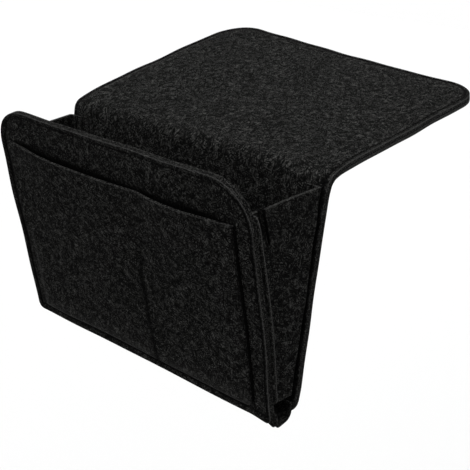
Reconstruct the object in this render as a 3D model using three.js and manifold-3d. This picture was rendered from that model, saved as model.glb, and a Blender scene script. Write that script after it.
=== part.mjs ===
// Felt bedside caddy: a wedge-shaped pouch with two front pockets, hung from a wide flap.
// Millimetres. +X is to the right of someone who faces the front, +Y runs back along the flap, +Z is up.
import * as THREE from "three";
import { mergeVertices } from "three/addons/utils/BufferGeometryUtils.js";
import Module from "manifold-3d";

const wasm = await Module();
wasm.setup();

// Felt: the thickness of one sheet, and the clearance that sewn sheets keep
const felt = 3;
const clearance = 0.3;

// Pouch: its width, and how deep it is at the mouth and at the foot
const width = 330;
const frontHeight = 213;
const mouthDepth = 102;
const footDepth = 32;
const frontTopCorner = 40;
const frontFootCorner = 7;
const backFootCorner = 14;

// Fold: the inside radius of the bend, the height of its centre, and how far it runs into the flat felt
const foldRadius = 6;
const foldHeight = 208.3;
const foldReach = 12;

// Flap: its length from the fold, its rounded far corners, how far it rises above level, and the twist of
// its far end, where the left side stands this much higher than the middle and the right side lower
const flapLength = 236;
const flapCorner = 40;
const flapRise = THREE.MathUtils.degToRad(18.1);
const flapTwist = 12;

// Front pocket: its edges from the middle of the panel, the upright seam, its height up the slope at either
// side, and how far its mouths stand out
const pocketLeft = 149;
const pocketRight = 147;
const pocketSeam = 23;
const pocketFoot = 13;
const pocketTopLeft = 196;
const pocketTopRight = 188;
const pocketFootCorner = 9;
const pocketHem = 5;
const leftBulge = 8;
const rightBulge = 8;

// Gussets: flanges, bends, the height of the top edge at the front and its drop below the fold's centre at
// the back, and the heights of the foot edge
const frontFlange = 8;
const backFlange = 14;
const gussetBackInset = 2;
const gussetBend = 3;
const gussetTopFront = 189;
const gussetBackDrop = 2.3;
const gussetFootFront = 16.5;
const gussetFootBack = 21;

// Slit in the top edge of each gusset, wider at the top than at its round foot
const slitLength = 30;
const slitMouth = 3.2;
const slitFootRadius = 0.8;
const slitSetback = 12;
const slitTilt = THREE.MathUtils.degToRad(7);

// Bottom gusset: its sewn legs, its bends, and how far its floor hangs under the panels
const bottomLeg = 12;
const bottomBend = 4.5;
const bottomDrop = 3.5;
const bottomEndInset = 1;

// Fineness of curves, how far a cutter passes its work, and how near two vertices count as one
const cornerSteps = 10;
const bendSteps = 5;
const foldSteps = 10;
const webSteps = 9;
const pocketSteps = 12;
const pocketRows = 14;
const flapSteps = 5;
const flapRows = 5;
const overrun = 10;
const weld = 1e-4;

// Sizes that follow from the ones above
const layer = felt + clearance;
const halfWidth = width / 2;
const frontLean = Math.atan2(mouthDepth - footDepth, frontHeight);
const frontSlope = frontHeight / Math.cos(frontLean);
const backSeat = 2 * layer + felt / 2;
const frontSeat = (2 * layer + felt / 2) / Math.cos(frontLean);
const gussetTopBack = foldHeight - gussetBackDrop;

// Charcoal felt, matt all over
const feltFinish = { color: 0x2b2b2d, roughness: 0.95, metalness: 0 };

function named(name, geometry) {
  const mesh = new THREE.Mesh(geometry, new THREE.MeshStandardMaterial(feltFinish));
  mesh.name = name;
  return mesh;
}

// Solids for cutting, and back to a geometry
function solid(geometry) {
  const bare = geometry.clone();
  bare.deleteAttribute("normal");
  bare.deleteAttribute("uv");
  const merged = mergeVertices(bare, weld);
  return new wasm.Manifold(
    new wasm.Mesh({
      numProp: 3,
      vertProperties: merged.attributes.position.array,
      triVerts: new Uint32Array(merged.index.array),
    }),
  );
}

function geometryOf(manifold) {
  const mesh = manifold.getMesh();
  const geometry = new THREE.BufferGeometry();
  geometry.setAttribute("position", new THREE.BufferAttribute(mesh.vertProperties, 3));
  geometry.setIndex(new THREE.BufferAttribute(mesh.triVerts, 1));
  geometry.computeVertexNormals();
  return geometry;
}

// A rectangle whose corners are rounded: foot corners by one radius, top corners by another
function panelShape(left, right, foot, top, footRadius, topRadius) {
  const shape = new THREE.Shape();
  const quarter = Math.PI / 2;
  shape.moveTo(left + footRadius, foot);
  shape.lineTo(right - footRadius, foot);
  if (footRadius > 0) shape.absarc(right - footRadius, foot + footRadius, footRadius, -quarter, 0, false);
  shape.lineTo(right, top - topRadius);
  if (topRadius > 0) shape.absarc(right - topRadius, top - topRadius, topRadius, 0, quarter, false);
  shape.lineTo(left + topRadius, top);
  if (topRadius > 0) shape.absarc(left + topRadius, top - topRadius, topRadius, quarter, 2 * quarter, false);
  shape.lineTo(left, foot + footRadius);
  if (footRadius > 0) {
    shape.absarc(left + footRadius, foot + footRadius, footRadius, 2 * quarter, 3 * quarter, false);
  }
  return shape;
}

// A flat sheet of felt cut to a shape, with its lower face at a given level
function flatSheet(shape, level) {
  const options = { depth: felt, bevelEnabled: false, curveSegments: cornerSteps };
  return new THREE.ExtrudeGeometry(shape, options).translate(0, 0, level);
}

// The middle line of a bent sheet: corners joined by straight runs, each corner turned at a radius.
// Every station holds a point and the direction square to the sheet there.
function bentLine(corners, radius, steps) {
  const stations = [];
  const square = (direction) => new THREE.Vector2(-direction.y, direction.x);
  const along = (i) => corners[i + 1].clone().sub(corners[i]).normalize();
  stations.push({ point: corners[0].clone(), normal: square(along(0)) });
  for (let i = 1; i < corners.length - 1; i++) {
    const before = along(i - 1);
    const after = along(i);
    const turn = Math.atan2(before.cross(after), before.dot(after));
    const tangent = radius * Math.tan(Math.abs(turn) / 2);
    const side = Math.sign(turn);
    const start = corners[i].clone().addScaledVector(before, -tangent);
    const centre = start.clone().addScaledVector(square(before), side * radius);
    for (let k = 0; k <= steps; k++) {
      const normal = square(before).rotateAround(new THREE.Vector2(), (turn * k) / steps);
      stations.push({ point: centre.clone().addScaledVector(normal, -side * radius), normal });
    }
  }
  const last = corners.length - 1;
  stations.push({ point: corners[last].clone(), normal: square(along(last - 1)) });
  return stations;
}

// Extra stations on the straight run that starts at one station
function subdivided(stations, index, steps) {
  const from = stations[index];
  const to = stations[index + 1];
  const extra = [];
  for (let k = 1; k < steps; k++) {
    extra.push({ point: from.point.clone().lerp(to.point, k / steps), normal: from.normal.clone() });
  }
  return [...stations.slice(0, index + 1), ...extra, ...stations.slice(index + 1)];
}

// A closed skin through rings of four corners, with both ends capped, its faces outwards
function loft(rings) {
  const points = rings.flat();
  const faces = [];
  const count = 4;
  for (let i = 0; i < rings.length - 1; i++) {
    for (let k = 0; k < count; k++) {
      const a = i * count + k;
      const b = i * count + ((k + 1) % count);
      faces.push([a, b, b + count], [a, b + count, a + count]);
    }
  }
  const end = (rings.length - 1) * count;
  faces.push([0, 2, 1], [0, 3, 2], [end, end + 1, end + 2], [end, end + 2, end + 3]);
  const volume = faces.reduce((sum, [a, b, c]) => {
    const cross = new THREE.Vector3().crossVectors(points[b], points[c]);
    return sum + points[a].dot(cross);
  }, 0);
  const outward = volume > 0 ? faces : faces.map(([a, b, c]) => [a, c, b]);
  const geometry = new THREE.BufferGeometry();
  geometry.setAttribute("position", new THREE.Float32BufferAttribute(points.flatMap((p) => p.toArray()), 3));
  geometry.setIndex(outward.flat());
  geometry.computeVertexNormals();
  return geometry;
}

// A sheet bent in the Y-Z plane that runs straight across the pouch from one X to another
function crossSheet(stations, left, right) {
  const half = felt / 2;
  const ring = ({ point, normal }) => {
    const upper = point.clone().addScaledVector(normal, half);
    const lower = point.clone().addScaledVector(normal, -half);
    return [
      new THREE.Vector3(left, upper.x, upper.y),
      new THREE.Vector3(right, upper.x, upper.y),
      new THREE.Vector3(right, lower.x, lower.y),
      new THREE.Vector3(left, lower.x, lower.y),
    ];
  };
  return loft(stations.map(ring));
}

// A closed sheet from the points of its lower and then its upper face, each row by row across
function closedGrid(points, across, rows) {
  const face = across * rows;
  const faces = [];
  for (let j = 0; j < rows - 1; j++) {
    for (let i = 0; i < across - 1; i++) {
      const a = j * across + i;
      const b = a + across;
      faces.push(a, b, b + 1, a, b + 1, a + 1);
      faces.push(face + a, face + b + 1, face + b, face + a, face + a + 1, face + b + 1);
    }
  }
  const rim = [];
  for (let i = 0; i < across - 1; i++) rim.push(i);
  for (let j = 0; j < rows - 1; j++) rim.push(j * across + across - 1);
  for (let i = across - 1; i > 0; i--) rim.push((rows - 1) * across + i);
  for (let j = rows - 1; j > 0; j--) rim.push(j * across);
  rim.forEach((a, k) => {
    const b = rim[(k + 1) % rim.length];
    faces.push(a, b, face + b, a, face + b, face + a);
  });
  const geometry = new THREE.BufferGeometry();
  geometry.setAttribute("position", new THREE.Float32BufferAttribute(points, 3));
  geometry.setIndex(faces);
  geometry.computeVertexNormals();
  return geometry;
}

// Flat frames: local X across, local Y up the sheet. On the pouch local Z points away from the other panel
// of the front and into the pouch at the back. On the flap it points up.
function placedGroup(y, z, tilt) {
  const group = new THREE.Group();
  group.position.set(0, y, z);
  group.rotation.x = tilt;
  return group;
}

// Front panel: two sheets of one outline, which lean out towards the mouth
function frontOutline() {
  return panelShape(-halfWidth, halfWidth, 0, frontSlope, frontFootCorner, frontTopCorner);
}

function frontPanel(name, index) {
  return named(name, flatSheet(frontOutline(), -index * layer - felt));
}

// Back panel: two upright sheets that end where the fold begins
function backPanel(name, index) {
  const top = foldHeight - foldReach;
  const outline = panelShape(-halfWidth, halfWidth, 0, top, backFootCorner, 0);
  return named(name, flatSheet(outline, index * layer));
}

// Flap: two sheets with rounded far corners, twisted evenly from the fold to the far edge
function evenly(from, to, steps) {
  return Array.from({ length: steps + 1 }, (_, i) => THREE.MathUtils.lerp(from, to, i / steps));
}

// A place in the square corner of a grid, moved into a quarter circle about that corner's inner point
function roundedCorner(x, s) {
  const across = (Math.abs(x) - halfWidth) / flapCorner + 1;
  const upward = (s - flapLength) / flapCorner + 1;
  if (across <= 0 || upward <= 0) return [x, s];
  const reach = Math.max(across, upward) * flapCorner;
  const share = Math.min(across, upward) / Math.max(across, upward);
  const angle = ((across >= upward ? share : 2 - share) * Math.PI) / 4;
  const innerX = halfWidth - flapCorner;
  const innerS = flapLength - flapCorner;
  return [Math.sign(x) * (innerX + reach * Math.cos(angle)), innerS + reach * Math.sin(angle)];
}

function flapSheet(name, index) {
  const inner = halfWidth - flapCorner;
  const corner = evenly(inner, halfWidth, bendSteps);
  const middle = evenly(-inner, inner, flapSteps).slice(1, -1);
  const columns = [...corner.map((x) => -x).reverse(), ...middle, ...corner];
  const rows = [
    ...evenly(foldReach, flapLength - flapCorner, flapRows),
    ...evenly(flapLength - flapCorner, flapLength, bendSteps).slice(1),
  ];
  const lower = foldRadius + index * layer;
  const points = [];
  for (const level of [lower, lower + felt]) {
    for (const row of rows) {
      for (const column of columns) {
        const [x, s] = roundedCorner(column, row);
        const along = (s - foldReach) / (flapLength - foldReach);
        const raised = (-flapTwist * along * x) / halfWidth;
        points.push(x, s + raised * Math.sin(flapRise), level + raised * Math.cos(flapRise));
      }
    }
  }
  return named(name, closedGrid(points, columns.length, rows.length));
}

// Fold: each sheet turns from the back into the flap round one centre
function foldSheet(name, index) {
  const radius = foldRadius + index * layer + felt / 2;
  const centre = new THREE.Vector2(foldRadius, foldHeight);
  const along = new THREE.Vector2(Math.cos(flapRise), Math.sin(flapRise));
  const run = foldReach - clearance;
  const tangent = radius * Math.tan((Math.PI / 2 - flapRise) / 2);
  const corner = new THREE.Vector2(centre.x - radius, centre.y + tangent);
  const foot = new THREE.Vector2(centre.x - radius, centre.y - run);
  const tip = corner.clone().addScaledVector(along, tangent + run);
  const stations = bentLine([foot, corner, tip], radius, foldSteps);
  return named(name, crossSheet(stations, -halfWidth, halfWidth));
}

// Front pocket: one panel sewn at its sides, its foot and one upright seam, standing out at both mouths
function pocketTop(x) {
  return THREE.MathUtils.mapLinear(x, -pocketLeft, pocketRight, pocketTopLeft, pocketTopRight);
}

function pocketBulge(x, s) {
  const rightSide = x > pocketSeam;
  const from = rightSide ? pocketSeam : -pocketLeft;
  const to = rightSide ? pocketRight : pocketSeam;
  const across = THREE.MathUtils.clamp((x - from - pocketHem) / (to - from - 2 * pocketHem), 0, 1);
  const sewn = pocketFoot + pocketHem;
  const upward = THREE.MathUtils.clamp((s - sewn) / (pocketTop(x) - sewn), 0, 1);
  const bow = Math.sin(Math.PI * across);
  const rise = 1 - Math.cos((Math.PI / 2) * upward);
  return (rightSide ? rightBulge : leftBulge) * bow * rise;
}

function pocketColumns() {
  const columns = [-pocketLeft];
  const pockets = [
    [-pocketLeft + pocketHem, pocketSeam - pocketHem],
    [pocketSeam + pocketHem, pocketRight - pocketHem],
  ];
  for (const [from, to] of pockets) {
    for (let i = 0; i <= pocketSteps; i++) columns.push(THREE.MathUtils.lerp(from, to, i / pocketSteps));
  }
  columns.push(pocketRight);
  return columns;
}

function pocketPanel(name) {
  const columns = pocketColumns();
  const sewn = pocketFoot + pocketHem;
  const height = (x, row) => {
    if (row === 0) return pocketFoot;
    return THREE.MathUtils.lerp(sewn, pocketTop(x), (row - 1) / pocketRows);
  };
  const rows = pocketRows + 2;
  const points = [];
  for (const level of [clearance, clearance + felt]) {
    for (let row = 0; row < rows; row++) {
      for (const x of columns) points.push(x, height(x, row), level + pocketBulge(x, height(x, row)));
    }
  }
  const bulged = closedGrid(points, columns.length, rows);
  const top = Math.max(pocketTopLeft, pocketTopRight) + overrun;
  const outline = panelShape(-pocketLeft, pocketRight, pocketFoot, top, pocketFootCorner, 0);
  const depth = Math.max(leftBulge, rightBulge) + felt + overrun;
  const sheet = { depth, bevelEnabled: false, curveSegments: cornerSteps };
  const prism = new THREE.ExtrudeGeometry(outline, sheet);
  return named(name, geometryOf(solid(bulged).intersect(solid(prism))));
}

// Gusset: a tapered wall whose front flange turns out behind the front panel and whose back flange turns
// in over the back panel. Each part of its section moves along a straight line from foot to top, so the
// wall is ruled between a section at the floor and one at the height of the front panel.
function gussetSection(height) {
  const frontY = -footDepth - height * Math.tan(frontLean) + frontSeat;
  const backY = -backSeat;
  const wallFront = halfWidth - frontFlange;
  const wallBack = halfWidth - gussetBackInset;
  const corners = [
    new THREE.Vector2(halfWidth, frontY),
    new THREE.Vector2(wallFront, frontY),
    new THREE.Vector2(wallBack, backY),
    new THREE.Vector2(wallBack - backFlange, backY),
  ];
  const bent = bentLine(corners, gussetBend, bendSteps);
  const wallStart = bendSteps + 1;
  return subdivided(bent, wallStart, webSteps);
}

function gussetWall() {
  const foot = gussetSection(0);
  const head = gussetSection(frontHeight);
  const backY = -backSeat;
  const frontY = foot[0].point.y;
  const half = felt / 2;
  const rings = foot.map((low, i) => {
    const high = head[i];
    const share = (low.point.y - frontY) / (backY - frontY);
    const footHeight = THREE.MathUtils.lerp(gussetFootFront, gussetFootBack, share * share);
    const topHeight = THREE.MathUtils.lerp(gussetTopFront, gussetTopBack, share);
    const corner = (side, height) => {
      const a = low.point.clone().addScaledVector(low.normal, side * half);
      const b = high.point.clone().addScaledVector(high.normal, side * half);
      const p = a.lerp(b, height / frontHeight);
      return new THREE.Vector3(p.x, p.y, height);
    };
    return [corner(1, footHeight), corner(-1, footHeight), corner(-1, topHeight), corner(1, topHeight)];
  });
  return loft(rings);
}

// Slit cutter: a tapering tongue with a round foot, set behind the front flange and leaning with it
function slitCutter() {
  const behindFlange = (3 * layer + slitSetback) / Math.cos(frontLean);
  const mouthY = -footDepth - gussetTopFront * Math.tan(frontLean) + behindFlange;
  const half = slitMouth / 2;
  const tongue = new THREE.Shape();
  tongue.moveTo(half, overrun);
  tongue.lineTo(-half, overrun);
  tongue.lineTo(-slitFootRadius, slitFootRadius - slitLength);
  tongue.absarc(0, slitFootRadius - slitLength, slitFootRadius, Math.PI, 2 * Math.PI, false);
  const depth = frontFlange + 2 * overrun;
  const cutter = new THREE.ExtrudeGeometry(tongue, { depth, bevelEnabled: false, curveSegments: bendSteps });
  const acrossY = new THREE.Vector3(0, 1, 0);
  const upZ = new THREE.Vector3(0, 0, 1);
  const alongX = new THREE.Vector3(1, 0, 0);
  cutter.applyMatrix4(new THREE.Matrix4().makeBasis(acrossY, upZ, alongX));
  cutter.rotateX(frontLean + slitTilt);
  return cutter.translate(halfWidth - frontFlange - overrun, mouthY, gussetTopFront);
}

// What the front flange leaves outside the outline of the front panel, round its top corner
function flangeWaste() {
  const depth = 3 * layer;
  const reach = halfWidth + overrun;
  const slab = panelShape(-reach, reach, -overrun, frontSlope + overrun, 0, 0);
  const sheet = { depth, bevelEnabled: false, curveSegments: cornerSteps };
  const outer = solid(new THREE.ExtrudeGeometry(slab, sheet));
  const deeper = { ...sheet, depth: depth + 2 * overrun };
  const inner = solid(new THREE.ExtrudeGeometry(frontOutline(), deeper).translate(0, 0, -overrun));
  const waste = geometryOf(outer.subtract(inner));
  return waste.translate(0, 0, -depth).rotateX(Math.PI / 2 + frontLean).translate(0, -footDepth, 0);
}

function gussets() {
  const cut = solid(gussetWall()).subtract(solid(slitCutter())).subtract(solid(flangeWaste()));
  const right = geometryOf(cut);
  const left = right.clone().scale(-1, 1, 1);
  const turned = left.index.array.slice();
  for (let i = 0; i < turned.length; i += 3) [turned[i + 1], turned[i + 2]] = [turned[i + 2], turned[i + 1]];
  left.setIndex(new THREE.BufferAttribute(turned, 1));
  left.computeVertexNormals();
  return [named("gusset_right", right), named("gusset_left", left)];
}

// Bottom gusset: a trough whose legs are sewn inside the front and back panels
function bottomGusset() {
  const floorZ = felt / 2 - bottomDrop;
  const frontY = (z) => -footDepth - z * Math.tan(frontLean) + frontSeat;
  const corners = [
    new THREE.Vector2(frontY(bottomLeg), bottomLeg),
    new THREE.Vector2(frontY(floorZ), floorZ),
    new THREE.Vector2(-backSeat, floorZ),
    new THREE.Vector2(-backSeat, bottomLeg),
  ];
  const half = halfWidth - bottomEndInset;
  return named("bottom_gusset", crossSheet(bentLine(corners, bottomBend, bendSteps), -half, half));
}

// The caddy, with its origin on the flap's underside, halfway along it
const front = placedGroup(-footDepth, 0, Math.PI / 2 + frontLean);
front.add(frontPanel("front_outer", 0), frontPanel("front_inner", 1), pocketPanel("front_pocket"));

const back = placedGroup(0, 0, Math.PI / 2);
back.add(backPanel("back_outer", 0), backPanel("back_inner", 1));

const flap = placedGroup(foldRadius, foldHeight, flapRise);
flap.add(flapSheet("flap_under", 0), flapSheet("flap_top", 1));

const caddy = new THREE.Group();
caddy.add(front, back, flap);
caddy.add(foldSheet("fold_outer", 0), foldSheet("fold_inner", 1));
caddy.add(...gussets(), bottomGusset());

const holdReach = flapLength / 2;
const holdY = foldRadius + holdReach * Math.cos(flapRise) - foldRadius * Math.sin(flapRise);
const holdZ = foldHeight + holdReach * Math.sin(flapRise) + foldRadius * Math.cos(flapRise);
caddy.position.set(0, -holdY, -holdZ);

export default caddy;
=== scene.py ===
import math

import bmesh
import bpy
import numpy as np
from mathutils import Matrix, Vector


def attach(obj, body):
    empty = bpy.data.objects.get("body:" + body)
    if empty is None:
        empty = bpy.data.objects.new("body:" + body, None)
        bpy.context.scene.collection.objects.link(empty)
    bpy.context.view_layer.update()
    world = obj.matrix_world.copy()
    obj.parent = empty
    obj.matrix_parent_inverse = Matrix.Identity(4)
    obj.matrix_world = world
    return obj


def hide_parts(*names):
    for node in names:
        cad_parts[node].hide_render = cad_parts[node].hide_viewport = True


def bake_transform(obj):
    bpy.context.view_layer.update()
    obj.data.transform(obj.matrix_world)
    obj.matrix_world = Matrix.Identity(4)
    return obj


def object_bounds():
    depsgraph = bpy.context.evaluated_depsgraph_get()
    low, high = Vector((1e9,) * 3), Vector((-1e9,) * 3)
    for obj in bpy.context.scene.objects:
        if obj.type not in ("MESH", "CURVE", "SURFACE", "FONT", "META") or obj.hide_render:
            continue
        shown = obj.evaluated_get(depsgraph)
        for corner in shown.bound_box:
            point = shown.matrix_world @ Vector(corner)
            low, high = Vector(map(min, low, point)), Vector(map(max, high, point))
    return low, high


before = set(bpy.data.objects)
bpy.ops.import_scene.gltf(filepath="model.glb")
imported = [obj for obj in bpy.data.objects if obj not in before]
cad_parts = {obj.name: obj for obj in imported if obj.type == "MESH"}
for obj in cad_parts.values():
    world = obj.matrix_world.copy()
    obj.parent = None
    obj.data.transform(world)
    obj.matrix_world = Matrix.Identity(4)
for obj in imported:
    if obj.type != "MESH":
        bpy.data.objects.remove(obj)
solid_low, solid_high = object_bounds()

# A felt bedside caddy, in metres. A place on the pouch is first written with X across, Y 0 at the
# outer face of the back and Z 0 at the foot of the panels, and then shifted by HOLD. Each sheet is
# drawn flat and then bent: x or along runs across it, s or z up it, and level through it.

# Felt: one sheet, the clearance between sewn sheets, the round of a cut edge, how far the painted
# highlight at its corner reaches, the insets of the cut's sides, and the painted shade on the cut
FELT = 0.003
CLEARANCE = 0.0003
LAYER = FELT + CLEARANCE
EDGE_ROUND = 0.0006
EDGE_FADE = 0.0006
SIDE_INSETS = (0.0005, 0.0009)
SIDE_SHADE = 0.1

# Pouch
WIDTH = 0.330
HALF = WIDTH / 2
FRONT_HEIGHT = 0.213
MOUTH_DEPTH = 0.102
FOOT_DEPTH = 0.032
FRONT_TOP_CORNER = 0.040
FRONT_FOOT_CORNER = 0.007
BACK_FOOT_CORNER = 0.014
LEAN = math.atan2(MOUTH_DEPTH - FOOT_DEPTH, FRONT_HEIGHT)
FRONT_SLOPE = FRONT_HEIGHT / math.cos(LEAN)

# Fold and flap
FOLD_RADIUS = 0.006
FOLD_HEIGHT = 0.2083
FLAP_LENGTH = 0.236
FLAP_CORNER = 0.040
FLAP_RISE = math.radians(18.1)
FOLD_TURN = math.pi / 2 - FLAP_RISE
FOLD_MIDDLE = FOLD_RADIUS + LAYER
FOLD_LENGTH = FOLD_MIDDLE * FOLD_TURN
FLAP_START = FOLD_HEIGHT + FOLD_LENGTH
FLAP_END = FLAP_START + FLAP_LENGTH

# Front pocket
POCKET_LEFT = 0.149
POCKET_RIGHT = 0.147
POCKET_SEAM = 0.023
POCKET_FOOT = 0.013
POCKET_TOP_LEFT = 0.193
POCKET_TOP_RIGHT = 0.188
POCKET_FOOT_CORNER = 0.009
POCKET_HEM = 0.005

# Gussets and the bottom gusset
FRONT_FLANGE = 0.008
BACK_FLANGE = 0.014
BACK_INSET = 0.002
GUSSET_BEND = 0.003
GUSSET_TOP_FRONT = 0.189
GUSSET_TOP_BACK = 0.206
GUSSET_FOOT_FRONT = 0.0165
GUSSET_FOOT_BACK = 0.021
FLANGE_FOOT_CORNER = 0.006
BOTTOM_LEG = 0.012
BOTTOM_BEND = 0.0045
BOTTOM_DROP = 0.0035
BOTTOM_END = HALF - 0.001
BACK_SEAT = 2 * LAYER + FELT / 2
FRONT_SEAT = BACK_SEAT / math.cos(LEAN)

# Seams: how far inside the edge they run, and the groove that the thread pulls into the felt
SEAM_INSET = 0.0042
POCKET_INSET = 0.0015
FLANGE_INSET = 0.005
FLANGE_SEAM = HALF - BACK_INSET - BACK_FLANGE + FLANGE_INSET
GROOVE_DEPTH = 0.0008
GROOVE_HALF = 0.0020
NO_SEAM = 1.0

# The shift from the pouch to the frame: halfway along the flap, on its underside
HALF_FLAP = FLAP_LENGTH / 2
HOLD_Y = FOLD_RADIUS + HALF_FLAP * math.cos(FLAP_RISE) - FOLD_RADIUS * math.sin(FLAP_RISE)
HOLD_Z = FOLD_HEIGHT + HALF_FLAP * math.sin(FLAP_RISE) + FOLD_RADIUS * math.cos(FLAP_RISE)
HOLD = np.array([0.0, HOLD_Y, HOLD_Z])

# Camera: its place on the pouch's terms, and its three directions
CAMERA_PLACE = Vector((0.6429, -0.65193, 0.37380)) - Vector(HOLD)
CAMERA_RIGHT = Vector((0.72504855, 0.67925983, 0.11362524))
CAMERA_DOWN = Vector((0.25979787, -0.1169659, -0.9585531))
CAMERA_AHEAD = Vector((-0.63781633, 0.72451713, -0.26127621))
PICTURE_SIDE = 470
FOCAL_PIXELS = 1000
SENSOR = 36.0
CLIP = (0.05, 50)


def placed(name, data):
    thing = bpy.data.objects.new(name, data)
    bpy.context.scene.collection.objects.link(thing)
    return thing


def make_camera():
    data = bpy.data.cameras.new("camera")
    data.sensor_width = SENSOR
    data.lens = FOCAL_PIXELS / PICTURE_SIDE * SENSOR
    data.clip_start, data.clip_end = CLIP
    camera = placed("camera", data)
    turned = Matrix((CAMERA_RIGHT, -CAMERA_DOWN, -CAMERA_AHEAD)).transposed()
    camera.matrix_world = Matrix.Translation(CAMERA_PLACE) @ turned.to_4x4()
    bpy.context.scene.camera = camera


# Grid lines of a sheet: close together by its cut edges and seams, wider between them
EDGE_LINES = np.array([0, 0.0001, 0.0003, 0.0006, 0.0016])
SEAM_LINES = np.array([-0.0021, -0.0013, -0.0007, 0, 0.0007, 0.0013, 0.0021])
GRID = 0.0045
TINY = 1e-9


def grid_lines(low, high, seams=(), step=GRID):
    close = [low + EDGE_LINES, high - EDGE_LINES]
    close += [seam + SEAM_LINES for seam in seams]
    close = np.unique(np.concatenate(close))
    even = np.linspace(low, high, round((high - low) / step) + 1)
    apart = np.abs(even[:, None] - close[None, :]).min(axis=1)
    return np.sort(np.concatenate([close, even[apart > step / 2]]))


def finer(lines, low, high, step, room=0.0):
    """Puts close lines between two places of a grid, in place of the ones there."""
    close = np.arange(low, high, step)
    wide = lines[(lines < close[0] - room) | (lines > close[-1] + room)]
    return np.sort(np.concatenate([wide, close]))


def from_edge(x, s, left, right, foot, top):
    """How far inside a panel's nearest edge a place is."""
    return np.minimum(np.minimum(x - left, right - x), np.minimum(s - foot, top - s))


def rounded_panel(x, s, left, right, foot, top, foot_radius, top_radius):
    """Turns each square corner of a grid into a quarter circle about its inner corner."""
    for side, edge in ((-1, left), (1, right)):
        for up, end, radius in ((-1, foot, foot_radius), (1, top, top_radius)):
            if radius == 0:
                continue
            inner_x, inner_s = edge - side * radius, end - up * radius
            a = side * (x - inner_x) / radius
            b = up * (s - inner_s) / radius
            reach = np.maximum(a, b)
            share = np.minimum(a, b) / np.maximum(reach, TINY)
            angle = np.where(a >= b, share, 2 - share) * math.pi / 4
            inside = (a > 0) & (b > 0)
            x = np.where(inside, inner_x + side * radius * reach * np.cos(angle), x)
            s = np.where(inside, inner_s + up * radius * reach * np.sin(angle), s)
    return x, s


def groove(distance):
    """How deep a seam's groove is at a distance from its middle."""
    share = np.clip(np.abs(distance) / GROOVE_HALF, 0, 1)
    return GROOVE_DEPTH * np.cos(share * math.pi / 2) ** 2


def edge_drop(edge):
    """How far the felt's face falls away where its cut edge is rounded."""
    short = EDGE_ROUND - np.clip(edge, 0, EDGE_ROUND)
    return EDGE_ROUND - np.sqrt(EDGE_ROUND**2 - short**2)


def waves(x, s, seed, height, shortest, longest, count=14):
    """Slow unevenness of a sheet of felt."""
    draw = np.random.default_rng(seed)
    total = np.zeros_like(x)
    for _ in range(count):
        length = draw.uniform(shortest, longest)
        angle = draw.uniform(0, 2 * math.pi)
        phase = draw.uniform(0, 2 * math.pi)
        total += np.sin(2 * math.pi * (x * math.cos(angle) + s * math.sin(angle)) / length + phase)
    return height * total / math.sqrt(count / 2)


def smooth(value, start, end):
    """Rises smoothly from 0 at the start to 1 at the end."""
    share = np.clip((value - start) / (end - start), 0, 1)
    return share * share * (3 - 2 * share)


def bell(value, middle, half):
    """Is 1 in the middle and falls away smoothly to either side."""
    return np.exp(-(((value - middle) / half) ** 2))


def open_sides(quads):
    """The sides that only one cell has: where each begins and where it ends."""
    alone = {}
    for quad in quads.tolist():
        for a, b in zip(quad, quad[1:] + quad[:1]):
            if (b, a) in alone:
                del alone[(b, a)]
            else:
                alone[(a, b)] = True
    return np.array(list(alone)).T


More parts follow.
